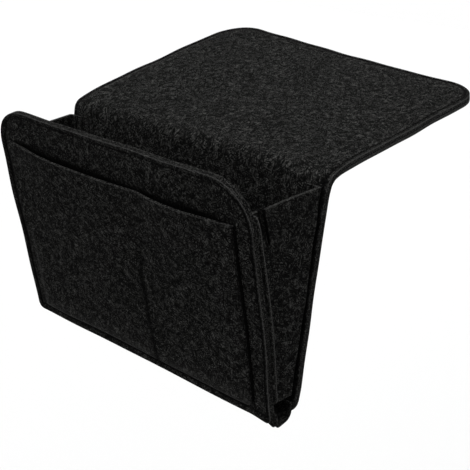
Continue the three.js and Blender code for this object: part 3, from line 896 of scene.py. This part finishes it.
# Gusset: a tapered wall with a flange in front and one behind, and a slit in its top edge
GUSSET_WAVES = (31, 0.0003, 0.03, 0.09)
SLIT_LENGTH = 0.030
SLIT_MOUTH = 0.0036
SLIT_FOOT = 0.0022
SLIT_SETBACK = 0.012
SLIT_FORWARD = 0.003
SLIT_TILT = math.radians(7)
SLIT_ANGLE = LEAN + SLIT_TILT
SLIT_BEHIND = (3 * LAYER + SLIT_SETBACK - SLIT_FORWARD) / math.cos(LEAN)
SLIT_MOUTH_Y = -FOOT_DEPTH - GUSSET_TOP_FRONT * math.tan(LEAN) + SLIT_BEHIND
SLIT_FOOT_Z = GUSSET_TOP_FRONT - SLIT_LENGTH * math.cos(SLIT_ANGLE)

# How the slit's two lips stand apart: the rear one turns out and the front one in
LIP_OUT = 0.0018
LIP_OUT_REACH = 0.013
LIP_IN = 0.0004
LIP_IN_REACH = 0.006
LIP_BELOW = 0.003

# Below the slit its line runs on down the wall, between these shares of the wall's width
LIP_LEAST = 0.12
LIP_MOST = 0.45

# The front flange's free edge stands out past the front's edge, most at the foot
FLANGE_OUT = (0.0028, 0.0014)
FLANGE_BEND_START = 0.002


def gusset_corners(z):
    front_y = front_seat(z)
    return [
        (HALF, front_y),
        (HALF - FRONT_FLANGE, front_y),
        (HALF - BACK_INSET, -BACK_SEAT),
        (HALF - BACK_INSET - BACK_FLANGE, -BACK_SEAT),
    ]


def slit_y(z):
    depth = np.minimum(GUSSET_TOP_FRONT - z, SLIT_LENGTH * math.cos(SLIT_ANGLE))
    return SLIT_MOUTH_Y + depth * math.tan(SLIT_ANGLE)


def slit_half_width(z):
    share = (z - SLIT_FOOT_Z) / (GUSSET_TOP_FRONT - SLIT_FOOT_Z)
    taper = SLIT_FOOT / 2 + share * (SLIT_MOUTH - SLIT_FOOT) / 2
    near_foot = np.clip((z - SLIT_FOOT_Z) / SLIT_FOOT, 0, 1)
    return taper * np.sqrt(near_foot)


def on_gusset(along, z, level):
    place, normal = bent_line(gusset_corners(z), GUSSET_BEND, along)
    wall = np.clip(np.abs(normal[..., 0]), 0, 1)
    behind = place[..., 1] - slit_y(z)
    rear = LIP_OUT * np.exp(-np.maximum(behind, 0) / LIP_OUT_REACH)
    fore = -LIP_IN * np.exp(np.minimum(behind, 0) / LIP_IN_REACH)
    lip = np.where(behind > 0, rear, fore) * smooth(z, SLIT_FOOT_Z - LIP_BELOW, GUSSET_TOP_FRONT) * wall
    level = level + waves(along, z, *GUSSET_WAVES) * wall
    bow = edge_bow(place[..., 0], z / math.cos(LEAN)) * (1 - wall)
    in_front = smooth(FRONT_FLANGE - along, 0, FRONT_FLANGE - FLANGE_BEND_START)
    bow = bow + in_front * np.interp(z, (GUSSET_FOOT_FRONT, GUSSET_TOP_FRONT), FLANGE_OUT)
    x = place[..., 0] + normal[..., 0] * level + lip + bow
    y = place[..., 1] + normal[..., 1] * level
    return np.stack([x, y, z], axis=1)


# The gusset's grid: how far apart its columns are, and how far clear of the wall's start and of the
# back flange's edge
BEND_STEP = 0.0008
WALL_STEP = 0.002
JOINED_BELOW = 0.002
WALL_CLEAR = 0.003
FLANGE_CLEAR = 0.0066
SLIT_LINES = np.append(EDGE_LINES, (0.0024, 0.0032))

# Painted light on the gusset: painted highlights on the cut edges of its flange and wall, and painted
# shadow on the slit's two lips
GUSSET_LIT = 0.4
FLANGE_FADE = (0.005, 0.009)
FOOT_FADE = (0.008, 0.012)
FORE_LIP_SHADE = (0.0016, 0.0036)
REAR_LIP_SHADE = (0.0004, 0.0016)
LIP_UNLIT = 0.7


def gusset_sheet(name, mirrored):
    slit_row = SLIT_FOOT_Z - GUSSET_FOOT_FRONT
    row_lines = grid_lines(0, GUSSET_TOP_FRONT - GUSSET_FOOT_FRONT, (slit_row,))
    foot_row = int(np.argmin(np.abs(row_lines - (slit_row - JOINED_BELOW))))
    mid = np.array([(GUSSET_TOP_FRONT + SLIT_FOOT_Z) / 2])
    mid_stops = bent_line(gusset_corners(mid), GUSSET_BEND)
    flat_end, wall_start, wall_end, _, last = (float(stop[0]) for stop in mid_stops)
    lip_at = wall_start + float((slit_y(mid) - front_seat(mid))[0]) - GUSSET_BEND
    spans = [(0.0, lip_at), (lip_at, wall_end), (wall_end, last)]
    front = np.union1d(EDGE_LINES, SEAM_INSET + SEAM_LINES)
    bend = np.arange(front[-1] + BEND_STEP, wall_start + BEND_STEP, BEND_STEP)
    wall = np.arange(wall_start + WALL_CLEAR, lip_at - WALL_STEP, WALL_STEP)
    first = np.concatenate([front, bend, np.union1d(wall, lip_at - SLIT_LINES)])
    second = grid_lines(lip_at, wall_end)
    third = np.arange(wall_end, last - FLANGE_CLEAR, BEND_STEP)[1:]
    third = np.union1d(third, np.union1d(last - EDGE_LINES, last - FLANGE_INSET + SEAM_LINES))
    columns = np.concatenate([first, second, third])
    lip = len(first) - 1
    share = np.clip((columns - flat_end) / (wall_end - flat_end), 0, 1)
    foot = GUSSET_FOOT_FRONT + share**2 * (GUSSET_FOOT_BACK - GUSSET_FOOT_FRONT)
    top = GUSSET_TOP_FRONT + share * (GUSSET_TOP_BACK - GUSSET_TOP_FRONT)
    rise = row_lines / row_lines[-1]
    z = foot + rise[:, None] * (top - foot)
    stops = bent_line(gusset_corners(z), GUSSET_BEND)
    above = np.clip(z / math.cos(LEAN) - (FRONT_SLOPE - FRONT_TOP_CORNER), 0, FRONT_TOP_CORNER)
    trimmed = FRONT_TOP_CORNER - np.sqrt(FRONT_TOP_CORNER**2 - above**2)
    below = np.clip(GUSSET_FOOT_FRONT + FLANGE_FOOT_CORNER - z, 0, FLANGE_FOOT_CORNER)
    trimmed = trimmed + FLANGE_FOOT_CORNER - np.sqrt(FLANGE_FOOT_CORNER**2 - below**2)
    lip_line = stops[1] + (slit_y(z) - front_seat(z) - GUSSET_BEND)
    deep = stops[2] - stops[1]
    lip_line = np.clip(lip_line, stops[1] + LIP_LEAST * deep, stops[1] + LIP_MOST * deep)
    half = slit_half_width(z)
    ends = [(trimmed, lip_line - half), (lip_line + half, stops[2]), (stops[2], stops[4])]
    parts, done = [], 0
    for (low, high), (start, end), lines in zip(spans, ends, (first, second, third)):
        at = slice(done, done + len(lines))
        done += len(lines)
        parts.append(start[:, at] + (lines - low) / (high - low) * (end[:, at] - start[:, at]))
    along = np.concatenate(parts, axis=1)
    aside = np.maximum(np.abs(along - lip_line) - half, 0)
    from_slit = np.hypot(aside, np.maximum(SLIT_FOOT_Z - z, 0))
    edge = np.minimum(from_edge(along, z, trimmed, stops[4], foot, top), from_slit)
    # Painted shadow in and beside the slit
    before = along < lip_line
    full = np.where(before, FORE_LIP_SHADE[0], REAR_LIP_SHADE[0])
    gone = np.where(before, FORE_LIP_SHADE[1], REAR_LIP_SHADE[1])
    slit_shade = 1 - smooth(from_slit, full, gone)
    flange = 1 - smooth(along - trimmed, *FLANGE_FADE)
    by_top = smooth(z - foot, *FOOT_FADE)

    def place(flat_along, flat_z, level):
        points = on_gusset(flat_along, flat_z, level)
        return points * np.array([-1, 1, 1]) if mirrored else points

    return felt_sheet(
        name, along, z, edge, place, slit=(lip, foot_row),
        seam_up=stops[4] - along - FLANGE_INSET, seam_down=along - trimmed - SEAM_INSET,
        light_up=GUSSET_LIT * (1 - flange) * by_top, light_side=flange, round_up=1 - flange,
        light_down=np.maximum(flange, GUSSET_LIT * by_top) * (1 - LIP_UNLIT * slit_shade),
        dark=slit_shade, painted_cut_shade=np.maximum(SIDE_SHADE, slit_shade),
    )


# Bottom gusset: a trough sewn inside the foot of the front and of the back, with raised ends
END_LIFT = 0.008
BOTTOM_DROOP = 1.1
BOTTOM_LIT = 0.15
BOTTOM_SHADE = 0.6
BOTTOM_SHADE_FADE = (HALF - 0.05, HALF - 0.01)


def bottom_corners():
    floor_z = FELT / 2 - BOTTOM_DROP
    return [
        (front_seat(BOTTOM_LEG), BOTTOM_LEG),
        (front_seat(floor_z), floor_z),
        (-BACK_SEAT, floor_z),
        (-BACK_SEAT, BOTTOM_LEG),
    ]


def on_bottom(x, along, level):
    place, normal = bent_line(bottom_corners(), BOTTOM_BEND, along)
    bent = place + normal * level[..., None]
    behind = np.clip(1 + bent[..., 0] / FOOT_DEPTH, 0, 1)
    lift = END_LIFT * behind / CORNER_DROOP - 1 - BOTTOM_DROOP * (1 - behind)
    return np.stack([x, bent[..., 0], bent[..., 1] + lift * corner_droop(x)], axis=1)


def bottom_sheet(name):
    length = float(bent_line(bottom_corners(), BOTTOM_BEND)[-1])
    x, along = np.meshgrid(grid_lines(-BOTTOM_END, BOTTOM_END), grid_lines(0, length, step=BEND_STEP))
    edge = from_edge(x, along, -BOTTOM_END, BOTTOM_END, 0, length)
    return felt_sheet(
        name, x, along, edge, on_bottom, light_up=BOTTOM_LIT,
        light_down=BOTTOM_LIT, dark=BOTTOM_SHADE * smooth(np.abs(x), *BOTTOM_SHADE_FADE),
    )


# Stitches: small bodies of thread, a pitch apart, that lie in the grooves of the seams
STITCH = {"Pitch": 0.0046, "Length": 0.0034, "Height": 0.0008, "Turn": math.radians(7), "Seed": 5}
STITCH_WIDTH = 0.0014
# The gussets' stitches are wider: their dark thread is partly real and partly stands in for the shade in
# the corner where the wall meets the back
WIDE_STITCH = 0.0018
STITCH_RISE = 0.0001
PATH_STEP = 0.0015
ROUND_STEPS = 8


def stitch_tree():
    """Beads of thread along a line, laid flat on the felt and turned a little at random."""
    tree = bpy.data.node_groups.new("row of stitches", "GeometryNodeTree")
    add_sockets(tree, "INPUT", "Geometry", "Geometry")
    add_sockets(tree, "INPUT", "Float", "Pitch", "Length", "Width", "Height", "Turn")
    add_sockets(tree, "INPUT", "Int", "Seed")
    add_sockets(tree, "INPUT", "Material", "Thread")
    add_sockets(tree, "OUTPUT", "Geometry", "Geometry")
    row = Tree(tree)
    entry = row.put("NodeGroupInput")
    seam = row.put("GeometryNodeMeshToCurve", {"Mesh": entry["Geometry"]})
    spaced = {"Curve": seam[0], "Length": entry["Pitch"]}
    spaced = row.put("GeometryNodeResampleCurve", spaced, mode="LENGTH")
    bead = row.put("GeometryNodeMeshUVSphere", {"Segments": 6, "Rings": 5, "Radius": 0.5})
    soft = row.put("GeometryNodeSetShadeSmooth", {"Geometry": bead[0]})
    size = row.put("ShaderNodeCombineXYZ", {0: entry["Length"], 1: entry["Width"], 2: entry["Height"]})
    along = row.put("GeometryNodeInputTangent")
    out = row.put("GeometryNodeInputNamedAttribute", {"Name": "out"}, data_type="FLOAT_VECTOR")
    ahead = row.put("FunctionNodeAlignRotationToVector", {"Vector": along[0]}, axis="X")
    upright = {"Rotation": ahead[0], "Vector": out[0]}
    upright = row.put("FunctionNodeAlignRotationToVector", upright, axis="Z", pivot_axis="X")
    back = row.maths("MULTIPLY", entry["Turn"], -1.0)
    chance = row.put("FunctionNodeRandomValue", {2: back, 3: entry["Turn"], "Seed": entry["Seed"]})
    angle = row.put("ShaderNodeCombineXYZ", {"Z": chance[1]})
    slight = row.put("FunctionNodeEulerToRotation", {0: angle[0]})
    turned = {"Rotation": upright[0], "Rotate By": slight[0]}
    turned = row.put("FunctionNodeRotateRotation", turned, rotation_space="LOCAL")
    beads = {"Points": spaced[0], "Instance": soft[0], "Rotation": turned[0], "Scale": size[0]}
    beads = row.put("GeometryNodeInstanceOnPoints", beads)
    real = row.put("GeometryNodeRealizeInstances", {"Geometry": beads[0]})
    done = row.put("GeometryNodeSetMaterial", {"Geometry": real[0], "Material": entry["Thread"]})
    row.put("NodeGroupOutput", {"Geometry": done[0]})


def stitches(name, rows, width=STITCH_WIDTH):
    """One piece from rows of stitches, each given as its points and the way out of the felt."""
    points = np.concatenate([row[0] for row in rows]) - HOLD
    edges, first = [], 0
    for row, _ in rows:
        edges += [(first + i, first + i + 1) for i in range(len(row) - 1)]
        first += len(row)
    path = bpy.data.meshes.new(name)
    path.from_pydata(points.tolist(), edges, [])
    add_attribute(path, "out", "FLOAT_VECTOR", np.concatenate([row[1] for row in rows]))
    piece = placed(name, path)
    tree = bpy.data.node_groups["row of stitches"]
    thread = bpy.data.materials["dull thread"]
    values = {**STITCH, "Width": width, "Thread": thread}
    modifier = piece.modifiers.new("row of stitches", "NODES")
    modifier.node_group = tree
    for socket in tree.interface.items_tree:
        if socket.in_out == "INPUT" and socket.name in values:
            modifier[socket.identifier] = values[socket.name]
    evaluated = piece.evaluated_get(bpy.context.evaluated_depsgraph_get())
    piece.data = bpy.data.meshes.new_from_object(evaluated)
    piece.modifiers.clear()
    piece.data.materials.clear()
    piece.data.materials.append(thread)
    piece.data.polygons.foreach_set("material_index", np.zeros(len(piece.data.polygons), np.int32))
    return piece


def panel_rim(left, right, foot, top, foot_radius, top_radius, inset):
    """The closed line that keeps an inset from the edge of a panel with rounded corners."""
    path = []
    for x, s, side, up, radius, start in (
        (right, foot, 1, -1, foot_radius, -math.pi / 2),
        (right, top, 1, 1, top_radius, 0),
        (left, top, -1, 1, top_radius, math.pi / 2),
        (left, foot, -1, -1, foot_radius, math.pi),
    ):
        radius = max(radius, inset)
        for angle in np.linspace(start, start + math.pi / 2, ROUND_STEPS):
            across = x - side * radius + (radius - inset) * math.cos(angle)
            path.append((across, s - up * radius + (radius - inset) * math.sin(angle)))
    return path + path[:1]


def seam_row(path, place, surface, side, depth=GROOVE_DEPTH, mirrored=False):
    """A seam's points in space, just out of the foot of its groove, and the way out of the felt."""
    path = np.array(path)
    gone = np.concatenate([[0], np.cumsum(np.hypot(*np.diff(path, axis=0).T))])
    at = np.linspace(0, gone[-1], round(gone[-1] / PATH_STEP) + 1)
    x, s = np.interp(at, gone, path[:, 0]), np.interp(at, gone, path[:, 1])
    level = np.full_like(x, surface - side * (depth - STITCH_RISE))
    points = place(x, s, level)
    out = place(x, s, level + side * FELT) - points
    if mirrored:
        points, out = points * (-1, 1, 1), out * (-1, 1, 1)
    return points, out / np.linalg.norm(out, axis=1)[:, None]


def long_sheet_rows():
    rim = panel_rim(-HALF, HALF, 0, FLAP_END, BACK_FOOT_CORNER, FLAP_CORNER, SEAM_INSET)
    outer = FOLD_RADIUS
    inner = FOLD_RADIUS + LAYER + FELT
    rows = [seam_row(rim, back_and_flap, outer, -1), seam_row(rim, back_and_flap, inner, 1)]
    for x in (-FLANGE_SEAM, FLANGE_SEAM):
        flange = [(x, GUSSET_FOOT_BACK), (x, GUSSET_TOP_BACK)]
        rows.append(seam_row(flange, back_and_flap, outer, -1, 0.0))
    return rows


# The share of the front's top corners down to which its inner face shows stitches
INSIDE_SHARE = 0.75


def front_rows():
    rim = panel_rim(
        -HALF + LEFT_ASIDE, HALF + RIGHT_ASIDE, FOOT_UP, FRONT_SLOPE, FRONT_FOOT_CORNER,
        FRONT_TOP_CORNER, SEAM_INSET,
    )
    inside = [(x, s) for x, s in rim if s > FRONT_SLOPE - FRONT_TOP_CORNER * INSIDE_SHARE]
    return [seam_row(rim, on_front, 0, 1), seam_row(inside, on_front, -LAYER - FELT, -1)]


def pocket_rows():
    rim = panel_rim(
        -POCKET_LEFT, POCKET_RIGHT, POCKET_FOOT, POCKET_TOP_LEFT, POCKET_FOOT_CORNER, 0, POCKET_INSET
    )
    corner = rim[ROUND_STEPS // 2 : ROUND_STEPS]
    right = corner[-1][0]
    side = corner + [(right, pocket_top(right) - POCKET_INSET)]
    return [seam_row(side, on_pocket, CLEARANCE + FELT, 1)]


# The gusset is stitched through its back flange, and its wall meets the back in a stitched corner
CORNER_SEAM = HALF - 0.0016
ROW_END = 0.002


def gusset_rows():
    rows = []
    face = FOLD_RADIUS + 2 * LAYER
    for mirrored in (False, True):
        for x, level in ((FLANGE_SEAM, face + FELT), (CORNER_SEAM, face)):
            path = [(x, GUSSET_FOOT_BACK + ROW_END), (x, GUSSET_TOP_BACK - ROW_END)]
            rows.append(seam_row(path, back_and_flap, level, 1, mirrored=mirrored))
    return rows


def ride_pouch(piece, node):
    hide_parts(node)
    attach(piece, "pouch")


def make_caddy():
    """The two long sheets and their stitches are drawn bent through the fold, and the rest is the
    pouch's.
    """
    charcoal_felt()
    dull_thread()
    stitch_tree()
    for index, (name, nodes) in enumerate((
        ("long_sheet_outer", ("back_outer", "fold_outer", "flap_under")),
        ("long_sheet_inner", ("back_inner", "fold_inner", "flap_top")),
    )):
        piece = long_sheet(name, index)
        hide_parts(*nodes)
        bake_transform(piece)
    ride_pouch(front_sheet("front_sheet_outer", 0), "front_outer")
    ride_pouch(front_sheet("front_sheet_inner", 1), "front_inner")
    ride_pouch(pocket_sheet("pocket_sheet"), "front_pocket")
    ride_pouch(gusset_sheet("gusset_sheet_right", False), "gusset_right")
    ride_pouch(gusset_sheet("gusset_sheet_left", True), "gusset_left")
    ride_pouch(bottom_sheet("bottom_sheet"), "bottom_gusset")
    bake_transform(stitches("stitches_long_sheets", long_sheet_rows()))
    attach(stitches("stitches_front", front_rows()), "pouch")
    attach(stitches("stitches_pocket", pocket_rows()), "pouch")
    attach(stitches("stitches_gussets", gusset_rows(), WIDE_STITCH), "pouch")


# Studio: a white sky, two soft lamps and a pale floor, which shine less than they show
WHITE = (1, 1, 1, 1)
SKY_LIGHT = 0.45
LAMPS = (
    ("key", (-0.12, 0.25, -1.0), 2.02, 30),
    ("fill", (0.1, 1.0, -0.35), 0.6, 50),
)
FLOOR_DROP = 0.5
FLOOR_REACH = 20
FLOOR_PALE = (0.88, 0.88, 0.88, 1)
FLOOR_DULL = (0.30, 0.30, 0.30, 1)


def make_studio():
    world = bpy.data.worlds.new("studio")
    bpy.context.scene.world = world
    world.use_nodes = True
    sky = Tree(world.node_tree)
    rays = sky.put("ShaderNodeLightPath")
    seen = sky.maths("MAXIMUM", rays["Is Camera Ray"], rays["Is Glossy Ray"])
    seen = sky.maths("MAXIMUM", seen, rays["Is Transmission Ray"])
    background = sky.nodes["Background"]
    sky.join(WHITE, background.inputs["Color"])
    sky.join(sky.ranged(seen, 0.0, 1.0, SKY_LIGHT, 1.0, "LINEAR"), background.inputs["Strength"])
    for name, direction, power, size in LAMPS:
        data = bpy.data.lights.new(name, "SUN")
        data.energy = power
        data.angle = math.radians(size)
        lamp = placed(name, data)
        lamp.rotation_mode = "QUATERNION"
        lamp.rotation_quaternion = Vector(direction).to_track_quat("-Z", "Y")
    mesh = bpy.data.meshes.new("floor")
    low = solid_low.z - FLOOR_DROP
    corners = [(x * FLOOR_REACH, y * FLOOR_REACH, low) for x, y in ((-1, -1), (1, -1), (1, 1), (-1, 1))]
    mesh.from_pydata(corners, [], [(0, 1, 2, 3)])
    floor = placed("floor", mesh)
    pale = Finish("pale floor")
    rays = pale.put("ShaderNodeLightPath")
    pale.shade(pale.mix(rays["Is Camera Ray"], FLOOR_DULL, FLOOR_PALE), roughness=0.9)
    mesh.materials.append(pale.material)


make_camera()
make_caddy()
make_studio()
bpy.context.scene.view_settings.view_transform = "Standard"
